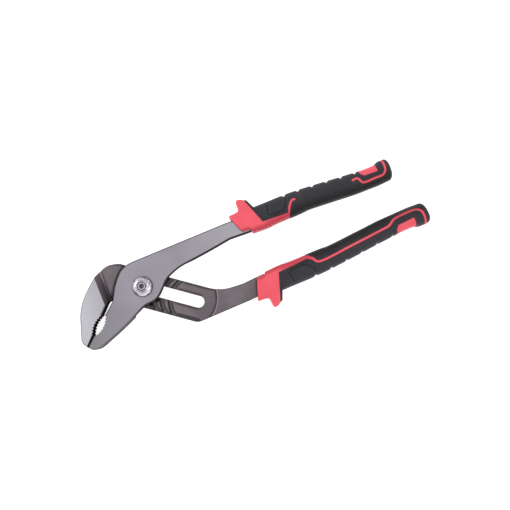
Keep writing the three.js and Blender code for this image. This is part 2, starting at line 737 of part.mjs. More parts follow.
// Finishes and assembly
const finishes = {
  satinSteel: { color: 0xa8a5ab, roughness: 0.38, metalness: 1 },
  darkSteel: { color: 0x7b7578, roughness: 0.42, metalness: 1 },
  chrome: { color: 0xd4d3d6, roughness: 0.16, metalness: 1 },
  redPlastic: { color: 0xf0475c, roughness: 0.45, metalness: 0 },
  blackRubber: { color: 0x2c2a2d, roughness: 0.7, metalness: 0 },
};

function piece(name, body, finish) {
  const mesh = new THREE.Mesh(geometryOf(body), new THREE.MeshStandardMaterial(finishes[finish]));
  mesh.name = name;
  return mesh;
}

function grip(name, handle) {
  const turnedOver = new THREE.Group();
  turnedOver.rotation.x = handle.side > 0 ? 0 : Math.PI;
  turnedOver.add(piece(`${name}_core`, gripCore(handle), 'redPlastic'));
  turnedOver.add(piece(`${name}_cover`, gripCover(handle), 'blackRubber'));
  const placed = new THREE.Group();
  placed.position.set(handle.x, handle.y, 0);
  placed.rotation.z = handle.toe;
  placed.add(turnedOver);
  return placed;
}

const tool = new THREE.Group();
tool.add(piece('front_lever', frontLever(), 'satinSteel'));
tool.add(piece('rear_lever', rearLever(), 'darkSteel'));
tool.add(piece('pivot_bolt', pivotBolt(), 'chrome'));
tool.add(piece('pivot_nut', pivotNut(), 'chrome'));
tool.add(grip('front_grip', frontHandle));
tool.add(grip('rear_grip', rearHandle));

// The part stands on the lowest points of its grips, centred on its own box
const box = new THREE.Box3().setFromObject(tool, true);
const centre = box.getCenter(new THREE.Vector3());
tool.position.set(-centre.x, -centre.y, -box.min.z);

const pliers = new THREE.Group();
pliers.add(tool);

export default pliers;
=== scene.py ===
"""Looks of the water pump pliers: steel finishes, moulded two-colour grips, white studio and camera."""

import json
import math

import bmesh
import bpy
import numpy as np
from mathutils import Matrix, Vector


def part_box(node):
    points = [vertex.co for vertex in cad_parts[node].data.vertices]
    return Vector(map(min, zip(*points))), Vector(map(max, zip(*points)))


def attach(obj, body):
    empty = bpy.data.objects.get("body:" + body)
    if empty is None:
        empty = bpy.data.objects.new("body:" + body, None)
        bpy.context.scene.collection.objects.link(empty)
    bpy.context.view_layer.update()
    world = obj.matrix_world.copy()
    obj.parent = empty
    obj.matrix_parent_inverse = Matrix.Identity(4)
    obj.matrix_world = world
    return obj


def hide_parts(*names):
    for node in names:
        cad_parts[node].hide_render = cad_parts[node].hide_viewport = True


MM = 0.001
X, Y, Z = 0, 1, 2
UP = Vector((0, 0, 1))

# Camera: the middle of the picture, in millimetres from the pivot, and how the picture lies on the part
LOOK_AT = (79, -9.4, 5.5)
CAMERA_DISTANCE = 480
CAMERA_TILT = 5.5
CAMERA_ROLL = 22.5
LENS = 49.6
SENSOR = 36

# Each grip: its turn in degrees, its collar's place from the pivot, its length and half its tang's width
FRONT_GRIP_TOE = -2.8
REAR_GRIP_TOE = 3.1
FRONT_GRIP_PLACE = (75.5, 12.8)
REAR_GRIP_PLACE = (72.2, -29.76)
FRONT_GRIP_LENGTH = 114
REAR_GRIP_LENGTH = 129
FRONT_TANG_HALF = 5.6
REAR_TANG_HALF = 6.2

# Both grips, in millimetres along the tang from the collar and across it, with the outer side positive
STOCK_HALF = 5.5
ARM_BACK = 1.2
GRIP_HALF = 8.5
GRIP_ROUND = 5.5
COLLAR_HALF = 7.4
COLLAR_OUTER = 9.4
COLLAR_ROUND = 3
COLLAR_EDGE = 0.7
COLLAR_BARE = 0.5
COLLAR_STEP = 5.8
COLLAR_INNER = -6.9
GUARD_BACK = 16.3
GUARD_OUTER = 18.1
SKIRT = 1.6
SKIRT_RISE = 0.3
SKIRT_FILLET = 0.5
COVER_WALL = 1.8
FIT = 0.3
PARTING = 0.1
INLAY_SINK = 0.15
INLAY_WIDTH = 1.5
INLAY_FLARE = 1.8
INLAY_FLARE_RUN = 9
INLAY_FLOOR = 1
NOTCH_DEPTH = 1.3
NOTCH_HALF = 1.8
TANG_SHOULDER = 7.4

# Both grips: the collar's lean in degrees, a count, shares of the body length, and factors of form
COLLAR_LEAN = 22
FINGER_COUNT = 5
FINGER_START = 0.195
FINGER_END = 0.735
LEAN_END = 0.19
DOME_START = 0.955
DOME_POWER = 2.6
NOTCH_POWER = 1.4
INNER_ROUND = 1.4

# Outer edge of the collar, the guard and the cover's skirt behind it: place along and distance across
GUARD_PROFILE = (
    (COLLAR_EDGE, COLLAR_OUTER), (COLLAR_STEP, 9.9), (COLLAR_STEP + COLLAR_EDGE, 10.1), (7.9, 10.6),
    (9.6, 13.2), (11, 16.8), (12.8, GUARD_OUTER), (14.8, 17.9), (GUARD_BACK, 16.7), (GUARD_BACK + SKIRT, 16),
)

# Body of a grip: share of its length, inner edge, outer edge, half thickness, corner radius
BODY_STATIONS = (
    (0, -7, 9.7, GRIP_HALF, 4.5),
    (0.08, -6.2, 10.2, GRIP_HALF, 5),
    (0.19, -5.7, 10.9, GRIP_HALF, GRIP_ROUND),
    (0.27, -5.2, 11, GRIP_HALF, GRIP_ROUND),
    (0.35, -4.4, 10.8, GRIP_HALF, GRIP_ROUND),
    (0.5, -4.7, 10.2, GRIP_HALF, GRIP_ROUND),
    (0.62, -5, 9.6, GRIP_HALF, GRIP_ROUND),
    (0.68, -5.2, 9.4, GRIP_HALF, GRIP_ROUND),
    (0.8, -4.9, 9.1, GRIP_HALF, GRIP_ROUND),
    (0.89, -4.6, 9.6, GRIP_HALF, GRIP_ROUND),
    (0.915, -4.4, 10.8, GRIP_HALF, GRIP_ROUND),
    (DOME_START, -4, 11.2, GRIP_HALF, GRIP_ROUND),
)

# Red inlays of a grip: share of the body length and distance across it
BAND_END = 0.187
BAND_EDGE = -2.3
HOOK_LINE = ((0.18, -4.5), (0.201, 0.6), (0.233, 4.6), (0.262, 4.8))
TAIL_LINE = (
    (0.69, 3.6), (0.732, 3.9), (0.755, 0.6), (0.78, -0.4), (0.85, 0), (0.915, 0.4),
    (0.943, 3), (0.948, 7.5), (0.942, 14),
)
LONG_LINE = (
    (0.17, -5.2), (0.213, -1), (0.256, 3.3), (0.467, 2.8), (0.69, 2), (0.732, 1.5), (0.76, -0.3),
    (0.787, -1.2), (0.862, -1.3), (0.92, -0.7), (0.949, 1.8), (0.953, 6), (0.944, 14),
)
PAD_START = 0.762
PAD_END = 0.89
PAD_EDGE = 4
PAD_SLANT = 2.4

# Engraved outline of the thumb panel on the cover: share of the body length and distance across it
PANEL_LINE = ((0.055, 7.6), (0.045, 1.2), (0.09, 0.2), (0.15, 0.6), (0.185, 3.8), (0.2, 7.6))
PANEL_WIDTH = 0.8
PANEL_DEPTH = 0.55

# Mesh of the grips: its density, its least sizes, the angle at which an edge is sharp, and a far reach
RING_STEPS = 10
BODY_STEPS = 120
DOME_STEPS = 10
COLLAR_STEPS = 40
NOTCH_STEPS = 9
LINE_STEPS = 8
LEAST_ROUND = 0.4
LEAST_FLAT = 0.2
LEAST_HALF = 0.5
SMOOTH_ANGLE = 32
FAR = 300

# Rounding of the steel edges, and the distance within which points are merged
STEEL_EDGE = 0.16
STEEL_EDGE_SEGMENTS = 2
WELD = 0.004
FLAT_ANGLE = 0.6
EDGE_ANGLE = 24
LARGE_FACE_WEIGHT = 100

# Limits that several finishes share, on noise and on the normals beside edges
CLOUD_RANGE = (0.35, 0.65)
MARK_RANGE = (0.3, 0.7)
LINE_RANGE = (0.25, 0.75)
NOISE_DETAIL = 3
CORNER_SAMPLES = 8
EDGE_SAMPLES = 6
EDGE_COSINE = (0.99, 0.9)
EDGE_LEAN = (0.01, 0.08)
EDGE_CROSSING = 2

# Front lever's finish with its painted shade and painted highlight: sizes in millimetres, and where its
# tones, painted highlight and painted shade change along X from the pivot
SATIN_LINES = 0.35
SATIN_LINE_STRETCH = (0.03, 1, 1)
SATIN_LINE_TINT = 0.25
SATIN_CLOUDS = 22
SATIN_RELIEF = 0.006
SATIN_FLAT = (0.75, 0.98)
SATIN_EDGE = 0.5
SATIN_EDGE_TINT = 0.8
SATIN_CORNER = 1.2
SATIN_OPEN = (0.4, 0.85)
SATIN_METAL = (0.2, 0.8)
SATIN_ROUGHNESS = (0.3, 0.46)
TIP_TONE_START = -8
# Where the painted highlight along the front lever's arm comes in
ARM_HIGHLIGHT = (30, 75)
# Where the painted shade on the front lever's sides turns lighter towards the jaw
JAW_SIDE_SHADE_CHANGE = (-6, -16)

# Rear lever's finish with its painted shade and painted highlights: sizes in millimetres, with heights taken
# from the pivot, where the two levers meet
DARK_LINES = 0.4
DARK_LINE_STRETCH = (1, 0.04, 1)
DARK_CLOUDS = 14
DARK_PITS = 0.7
DARK_PIT_SHARE = 0.6
DARK_RELIEF = 0.008
DARK_SLOPE = (0.95, 0.75)
DARK_BACK = (0.05, 0)
DARK_EDGE = 0.7
DARK_EDGE_TINT = 0.9
DARK_CORNER = 2
DARK_OPEN = (0.45, 0.9)
DARK_METAL = (0.15, 0.35)
DARK_ROUGHNESS = (0.34, 0.5)
GROUND_DEPTH = (0.9, 0.6)
# Where the painted highlight on the jaw's ground face runs, from near the tip towards the pivot
JAW_HIGHLIGHT_FROM_TIP = 8
JAW_HIGHLIGHT_END = -24
GROOVE_RISE = (-0.9, -0.4)
RAMP_SLOPE = (0.2, 0.4)
RAMP_FOOT = (0, 0.2)
# Heights on the ramp where its painted highlight lies
RAMP_HIGHLIGHT_RISE = (1.2, 0.9)
BAR_TOP = (0.4, 0)
BAR_FLAT = (0.8, 0.95)
SLOT_EDGE = 2.6
SLOT_EDGE_TINT = 0.85
WALL_REACH = 4
WALL_OPEN = (0.84, 0.77)

# Painted highlight along the brow of the step between the slotted bar and the rear arm: its circle from the
# pivot, and its height
STEP_CENTRE = (25.15, -19.3)
STEP_BROW_RADIUS = 20.5
STEP_BROW_WIDTH = 0.5
STEP_BROW_RISE = (0.5, 0.9)

# Finish of the nut and the bolt, with their painted reflections and painted shade, in millimetres
TURNED_MARKS = 0.6
TURNED_STRETCH = (1, 1, 0.2)
TURNED_RELIEF = 0.01
TURNED_CORNER = 1.4
CHROME_TARNISH = 3
CHROME_TARNISH_RANGE = (0.4, 0.7)
# Patches of painted reflection on the nut's slopes
CHROME_REFLECTION_PATCHES = 4
CHROME_REFLECTION_DETAIL = 1
CHROME_REFLECTION_RANGE = (0.42, 0.58)
CHROME_FLAT = (0.7, 0.98)
CHROME_SIDE = (0.05, 0.3)
CHROME_EDGE = 0.42
CHROME_EDGE_TINT = 0.92
CHROME_OPEN = (0.6, 1)
CHROME_ROUGHNESS = (0.1, 0.24)
BOLT_RECESS_DEPTH = (0.1, 0.3)
BOLT_RECESS_FLAT = (0, 0.2)
BOLT_OPEN = (0.4, 0.85)
BOLT_ROUGHNESS = (0.25, 0.4)

# Finish of the grips, with painted shade on the red's inner side and a painted highlight along the black's
# edges, in millimetres
RED_GRAIN = 0.25
RED_CLOUDS = 16
RED_RELIEF = 0.012
# Painted shade on the red where it faces the other handle
RED_INNER_SHADE_SIDE = (-0.6, -0.1)
RED_ROUGHNESS = (0.4, 0.55)
RED_SHINE = 0.4
BLACK_GRAIN = 0.32
BLACK_CLOUDS = 10
BLACK_RELIEF = 0.03
BLACK_OUTER_SIDE = (-0.5, 0.15)
BLACK_ROUGHNESS = (0.5, 0.68)
BLACK_SHINE = 0.3
# Painted highlight along the black's convex edges: its limits, its patches and its strength
BLACK_HIGHLIGHT_EDGE = (0.5, 0.58)
BLACK_HIGHLIGHT_CLOUDS = (0.35, 0.7)
BLACK_HIGHLIGHT_TINT = 0.6

# Studio, in metres and watts: each lamp has its name, place, size and power
FLOOR_SIZE = 4
FLOOR_DROP = 0.0001
FLOOR_GLOW = 0.8
FLOOR_ROUGHNESS = 0.9
SOFT_LIGHT = 0.75
LAMPS = (
    ("key", (-0.55, 0.45, 0.55), 0.5, 1.9),
    ("fill", (0.5, -0.5, 0.6), 0.6, 0.8),
)


# Colours

def linear(red, green, blue):
    """A colour written as it looks on screen, from 0 to 255, as the shader's own values."""
    values = [value / 255 for value in (red, green, blue)]
    return (*[v / 12.92 if v <= 0.04045 else ((v + 0.055) / 1.055) ** 2.4 for v in values], 1)


GROUND_STEEL = linear(156, 152, 161)
GROUND_STEEL_DEEP = linear(148, 143, 152)
GROUND_STEEL_TIP = linear(132, 129, 135)
# Painted highlight along the front lever's arm
GROUND_STEEL_ARM_HIGHLIGHT = linear(170, 166, 173)
# Painted shade on the front lever's walls, edges and corners, and a lighter painted shade on the jaw's walls
GROUND_STEEL_SHADE = linear(66, 62, 67)
GROUND_STEEL_JAW_SIDE_SHADE = linear(112, 108, 113)
# Ground jaw face of the rear lever, with a painted highlight towards the tip
JAW_FACE_HIGHLIGHT = linear(186, 184, 191)
JAW_FACE_DEEP = linear(166, 163, 170)
# Painted highlight on the top of the rear lever's ramp and along the brow of its step
PAINTED_EDGE_HIGHLIGHT = linear(164, 158, 163)
DARK_STEEL = linear(120, 112, 116)
DARK_STEEL_DEEP = linear(106, 99, 103)
DARK_STEEL_GROOVE = linear(96, 90, 93)
# Painted shade on the rear lever's walls and slopes, and a lighter painted shade on its ramp
DARK_STEEL_SHADE = linear(68, 62, 66)
DARK_STEEL_RAMP_SHADE = linear(104, 97, 101)
# Painted shade along the rear lever's edges and the slot
DARK_STEEL_EDGE_SHADE = linear(46, 42, 45)
# Painted shade in the rear lever's corners and creases
DARK_STEEL_CORNER_SHADE = linear(36, 33, 35)
WALL_SHADOW = linear(16, 14, 17)
NUT_CHROME = linear(214, 211, 220)
NUT_CHROME_DEEP = linear(184, 180, 191)
# Painted reflection in patches on the nut's slopes
NUT_CHROME_DARK_REFLECTION = linear(118, 113, 124)
# Painted shade on the nut's walls, edges and corners
NUT_CHROME_SHADE = linear(52, 47, 56)
BOLT_STEEL = linear(182, 177, 188)
# Painted shade in the bolt's corners and in its recess
BOLT_CORNER_SHADE = linear(62, 57, 66)
BOLT_RECESS_SHADE = linear(92, 86, 97)
RED = linear(252, 96, 110)
RED_DEEP = linear(242, 84, 99)
# Painted shade on the red's inner side
RED_INNER_SHADE = linear(214, 70, 84)
BLACK = linear(26, 24, 27)
BLACK_OUTER = linear(50, 48, 54)
# Painted highlight along the black's convex edges
BLACK_EDGE_HIGHLIGHT = linear(68, 66, 72)
FLOOR = linear(238, 238, 240)
WHITE = (1, 1, 1, 1)

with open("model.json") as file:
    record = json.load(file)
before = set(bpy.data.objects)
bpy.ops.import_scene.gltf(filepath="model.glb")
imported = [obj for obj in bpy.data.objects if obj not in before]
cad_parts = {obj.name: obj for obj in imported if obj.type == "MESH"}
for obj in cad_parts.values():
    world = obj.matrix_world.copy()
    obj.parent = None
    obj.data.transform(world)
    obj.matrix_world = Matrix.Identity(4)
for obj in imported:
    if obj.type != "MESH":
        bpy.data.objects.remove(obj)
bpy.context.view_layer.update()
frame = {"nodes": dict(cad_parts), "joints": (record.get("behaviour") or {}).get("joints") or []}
joints = {joint["name"]: joint for joint in frame["joints"]}
pivot = Vector(joints["lever_pivot"]["pos_m"])
slide = Vector(joints["adjust_slide"]["axis"])
body_start = GUARD_BACK + SKIRT + SKIRT_FILLET
notch_shares = np.linspace(FINGER_START, FINGER_END, FINGER_COUNT + 1)


class Handle:
    """Place and size of one grip, with the rear one turned over about its length."""

    def __init__(self, place, toe, length, tang_half, turned_over):
        self.length = length
        self.tang_half = tang_half
        flip = Matrix.Rotation(math.pi if turned_over else 0, 4, "X")
        shift = Matrix.Translation(pivot + Vector((*place, 0)) * MM)
        self.matrix = shift @ Matrix.Rotation(math.radians(toe), 4, "Z") @ flip @ Matrix.Scale(MM, 4)

    def body(self, share):
        """The place along the grip at a share of its body, behind the guard."""
        return body_start + (self.length - body_start) * share


front_handle = Handle(FRONT_GRIP_PLACE, FRONT_GRIP_TOE, FRONT_GRIP_LENGTH, FRONT_TANG_HALF, False)
rear_handle = Handle(REAR_GRIP_PLACE, REAR_GRIP_TOE, REAR_GRIP_LENGTH, REAR_TANG_HALF, True)


# Curves through tables of values

def through_table(rows, places):
    """Values of a table's columns at the places, on smooth curves that don't overshoot the rows."""
    table = np.array(rows, float)
    x, y = table[:, 0], table[:, 1:]
    width = np.diff(x)[:, None]
    slope = np.diff(y, axis=0) / width
    product = slope[:-1] * slope[1:]
    total = np.where(product > 0, slope[:-1] + slope[1:], 1)
    tangent = np.vstack([slope[:1], np.where(product > 0, 2 * product / total, 0), slope[-1:]])
    row = np.clip(np.searchsorted(x, places, side="right") - 1, 0, len(x) - 2)
    t = ((places - x[row]) / np.diff(x)[row])[:, None]
    rise = y[row + 1] - y[row]
    bend = width[row] * (t * (1 - t) ** 2 * tangent[row] - t**2 * (1 - t) * tangent[row + 1])
    return y[row] + (3 - 2 * t) * t**2 * rise + bend


def along_points(points):
    """A smooth line through points, as closely spaced points and their directions."""
    given = np.array(points, float)
    padded = np.vstack([2 * given[0] - given[1], given, 2 * given[-1] - given[-2]])
    line = []
    for a, b, c, d in zip(padded, padded[1:], padded[2:], padded[3:]):
        for t in np.arange(LINE_STEPS) / LINE_STEPS:
            cubic = (3 * (b - c) + d - a) * t**3 + (2 * a - 5 * b + 4 * c - d) * t**2
            line.append((cubic + (c - a) * t) / 2 + b)
    line = np.vstack([line, given[-1:]])
    direction = np.gradient(line, axis=0)
    return line, direction / np.linalg.norm(direction, axis=1)[:, None]


# Meshes of the grips, in millimetres in the frame of one handle

def new_object(name, mesh_builder):
    mesh = bpy.data.meshes.new(name)
    bmesh.ops.recalc_face_normals(mesh_builder, faces=mesh_builder.faces[:])
    if mesh_builder.calc_volume(signed=True) < 0:
        bmesh.ops.reverse_faces(mesh_builder, faces=mesh_builder.faces[:])
    mesh_builder.to_mesh(mesh)
    mesh_builder.free()
    made = bpy.data.objects.new(name, mesh)
    bpy.context.scene.collection.objects.link(made)
    return made


def section(station, inset):
    """Points round a cross-section on a plane that may lean: a rectangle, rounder on its inner side."""
    along, lean, inner, outer, thick, corner = station
    middle = (inner + outer) / 2
    half = max((outer - inner) / 2 - inset, LEAST_HALF)
    low, high = middle - half, middle + half
    rise = max(thick - inset, LEAST_HALF)
    most = min(half, rise) - LEAST_FLAT
    ring = []
    for quarter, (outward, upward) in enumerate(((1, 1), (-1, 1), (-1, -1), (1, -1))):
        given = corner if outward > 0 else corner * INNER_ROUND
        radius = max(min(given - inset, most), min(LEAST_ROUND, most))
        centre_across = (high - radius) if outward > 0 else (low + radius)
        centre_up = upward * (rise - radius)
        for step in range(RING_STEPS + 1):
            angle = (quarter + step / RING_STEPS) * math.pi / 2
            across = centre_across + radius * math.cos(angle)
            ring.append((along - math.tan(lean) * across, across, centre_up + radius * math.sin(angle)))
    return ring


def loft(name, stations, inset=0):
    builder = bmesh.new()
    rings = [[builder.verts.new(point) for point in section(station, inset)] for station in stations]
    for here, ahead in zip(rings, rings[1:]):
        for side in range(len(here)):
            builder.faces.new((here[side - 1], here[side], ahead[side], ahead[side - 1]))
    for ring in (rings[0], rings[-1]):
        builder.faces.new(ring)
    return new_object(name, builder)


def prism(name, points, low, high):
    builder = bmesh.new()
    floor = builder.faces.new([builder.verts.new((x, y, low)) for x, y in points])
    raised = bmesh.ops.extrude_face_region(builder, geom=[floor])["geom"]
    lifted = [item for item in raised if isinstance(item, bmesh.types.BMVert)]
    bmesh.ops.translate(builder, verts=lifted, vec=(0, 0, high - low))
    return new_object(name, builder)


def combined(target, operation, *tools):
    """The target joined with, cut by or cut to each tool in turn, and the tools used up."""
    for tool in tools:
        modifier = target.modifiers.new(operation, "BOOLEAN")
        modifier.operation = operation
        modifier.solver = "MANIFOLD"
        modifier.object = tool
    made = bpy.data.meshes.new_from_object(target.evaluated_get(bpy.context.evaluated_depsgraph_get()))
    target.modifiers.clear()
    target.data = made
    for tool in tools:
        bpy.data.objects.remove(tool)
    return target


def finger_notch(handle, share):
    """Depth of the narrow notches between the finger rests along the outer edge."""
    away = np.abs(notch_shares - share).min() * (handle.length - body_start)
    return NOTCH_DEPTH * max(0, 1 - away / NOTCH_HALF) ** NOTCH_POWER


def collar_stations(handle):
    bare = COLLAR_BARE - handle.tang_half
    rows = [(0, bare + COLLAR_EDGE, COLLAR_OUTER - COLLAR_EDGE, COLLAR_HALF - COLLAR_EDGE)]
    for along, outer in GUARD_PROFILE:
        inner = COLLAR_INNER if along > COLLAR_STEP else bare
        rise = SKIRT_RISE * max(0, along - GUARD_BACK) / SKIRT
        rows.append((along, inner, outer, COLLAR_HALF + rise))
    even_places = np.linspace(0, GUARD_BACK + SKIRT, COLLAR_STEPS)
    places = np.unique(np.append(even_places, [row[0] for row in rows]))
    lean = math.radians(COLLAR_LEAN)
    values = through_table(rows, places)
    return [(along, lean, *value, COLLAR_ROUND) for along, value in zip(places, values)]


def body_stations(handle, notched, inset=0):
    shares = np.linspace(0, DOME_START, BODY_STEPS)
    if notched:
        reach = NOTCH_HALF / (handle.length - body_start)
        near = notch_shares[:, None] + np.linspace(-reach, reach, NOTCH_STEPS)
        shares = np.unique(np.append(shares, near))
    stations = []
    for share, (inner, outer, thick, corner) in zip(shares, through_table(BODY_STATIONS, shares)):
        lean = math.radians(COLLAR_LEAN) * max(0, 1 - share / LEAN_END)
        notch = finger_notch(handle, share) if notched else NOTCH_DEPTH
        stations.append((handle.body(share), lean, inner, outer - notch, thick, corner))
    along, lean, inner, outer, thick, corner = stations[-1]
    end = handle.length - inset
    middle, reach = (inner + outer) / 2, (outer - inner) / 2
    for step in range(1, DOME_STEPS):
        turn = math.sin(step / DOME_STEPS * math.pi / 2)
        left = (1 - turn**DOME_POWER) ** (1 / DOME_POWER)
        place = along + (end - along) * turn
        half = reach * left
        stations.append((place, lean, middle - half, middle + half, thick * left, corner * left))
    return stations


def grip_form(handle, inset=0):
    return loft("form", [*collar_stations(handle), *body_stations(handle, True)], inset)


def core_form(handle, inset):
    stations = body_stations(handle, False, inset)
    lead = (GUARD_BACK - SKIRT, *stations[0][1:])
    return loft("core", [lead, *stations], inset)


def leaning_half(place, forward):
    """Everything in front of, or behind, a leaning plane across the grip."""
    side = 2 * GUARD_OUTER
    slope = math.tan(math.radians(COLLAR_LEAN)) * side
    far = -FAR if forward else FAR
    outline = [(place + slope, -side), (place - slope, side), (far, side), (far, -side)]
    return prism("half", outline, -FAR, FAR)


def stroke(handle, line, width, flare=0):
    """Outline of a stroke along a line given in shares of the body, wider by the flare at its start."""
    points, direction = along_points([(handle.body(share), across) for share, across in line])
    travel = np.append(0, np.cumsum(np.linalg.norm(np.diff(points, axis=0), axis=1)))
    spread = width + flare * np.clip(1 - travel / INLAY_FLARE_RUN, 0, 1)
    across = np.column_stack([-direction[:, 1], direction[:, 0]]) * spread[:, None] / 2
    return [*(points + across), *(points - across)[::-1]]


def inlays(handle, grow):
    """Where the red core comes up through the cover, grown by a clearance for the cover's cut-outs."""
    far = 2 * GUARD_OUTER
    band_start = GUARD_BACK - SKIRT
    band_end = handle.body(BAND_END) + grow
    band_edge = BAND_EDGE + grow
    band = [(band_start, band_edge), (band_end, band_edge), (band_end, -far), (band_start, -far)]
    pad_start = handle.body(PAD_START) - grow
    pad_end = handle.body(PAD_END) + grow
    pad_edge = PAD_EDGE - grow
    pad_slant = [(pad_start, pad_edge + PAD_SLANT), (pad_start + PAD_SLANT, pad_edge)]
    pad = [(pad_start, far), *pad_slant, (pad_end, pad_edge), (pad_end, far)]
    width = INLAY_WIDTH + 2 * grow
    floor = INLAY_FLOOR - grow
    cuts = [prism("inlay", stroke(handle, line, width), floor, far) for line in (HOOK_LINE, TAIL_LINE)]
    cuts.append(prism("inlay", stroke(handle, LONG_LINE, width, INLAY_FLARE), -far, -floor))
    cuts.extend(prism("inlay", shape, -far, far) for shape in (band, pad))
    return combined(cuts[0], "UNION", *cuts[1:])


def panel_groove(handle):
    """The engraved thumb panel on both faces, as deep as the line shows below the cover's skin."""
    far = 2 * GUARD_OUTER
    outline = prism("panel", stroke(handle, PANEL_LINE, PANEL_WIDTH), -far, far)
    return combined(outline, "DIFFERENCE", grip_form(handle, PANEL_DEPTH))


def tang_mouth(handle):
    half = handle.tang_half + FIT
    shoulder = TANG_SHOULDER + FIT
    outline = [(-FAR, -half), (shoulder, -half), (shoulder, half), (-FAR, half)]
    return prism("mouth", outline, -ARM_BACK - FIT, STOCK_HALF + FIT)


def settled(piece, handle, name):
    """The piece without slivers, in the part's frame, with smooth skin and crisp edges."""
    piece.name = name
    piece.data.name = name
    builder = bmesh.new()
    builder.from_mesh(piece.data)
    bmesh.ops.remove_doubles(builder, verts=builder.verts[:], dist=WELD)
    bmesh.ops.triangulate(builder, faces=builder.faces[:])
    bmesh.ops.dissolve_degenerate(builder, edges=builder.edges[:], dist=WELD)
    builder.to_mesh(piece.data)
    builder.free()
    piece.data.transform(handle.matrix)
    piece.data.shade_smooth()
    piece.data.set_sharp_from_angle(angle=math.radians(SMOOTH_ANGLE))
    return piece


def grip_red(handle, name):
    front = combined(grip_form(handle), "INTERSECT", leaning_half(GUARD_BACK, True))
    raised = combined(grip_form(handle, INLAY_SINK), "INTERSECT", inlays(handle, 0))
    made = combined(front, "UNION", raised, core_form(handle, COVER_WALL + PARTING))
    return settled(combined(made, "DIFFERENCE", tang_mouth(handle)), handle, name)


def grip_black(handle, name):
    made = combined(grip_form(handle), "INTERSECT", leaning_half(GUARD_BACK + PARTING, False))
    hollow = core_form(handle, COVER_WALL)
    made = combined(made, "DIFFERENCE", inlays(handle, PARTING), hollow, panel_groove(handle))
    return settled(made, handle, name)


# Materials

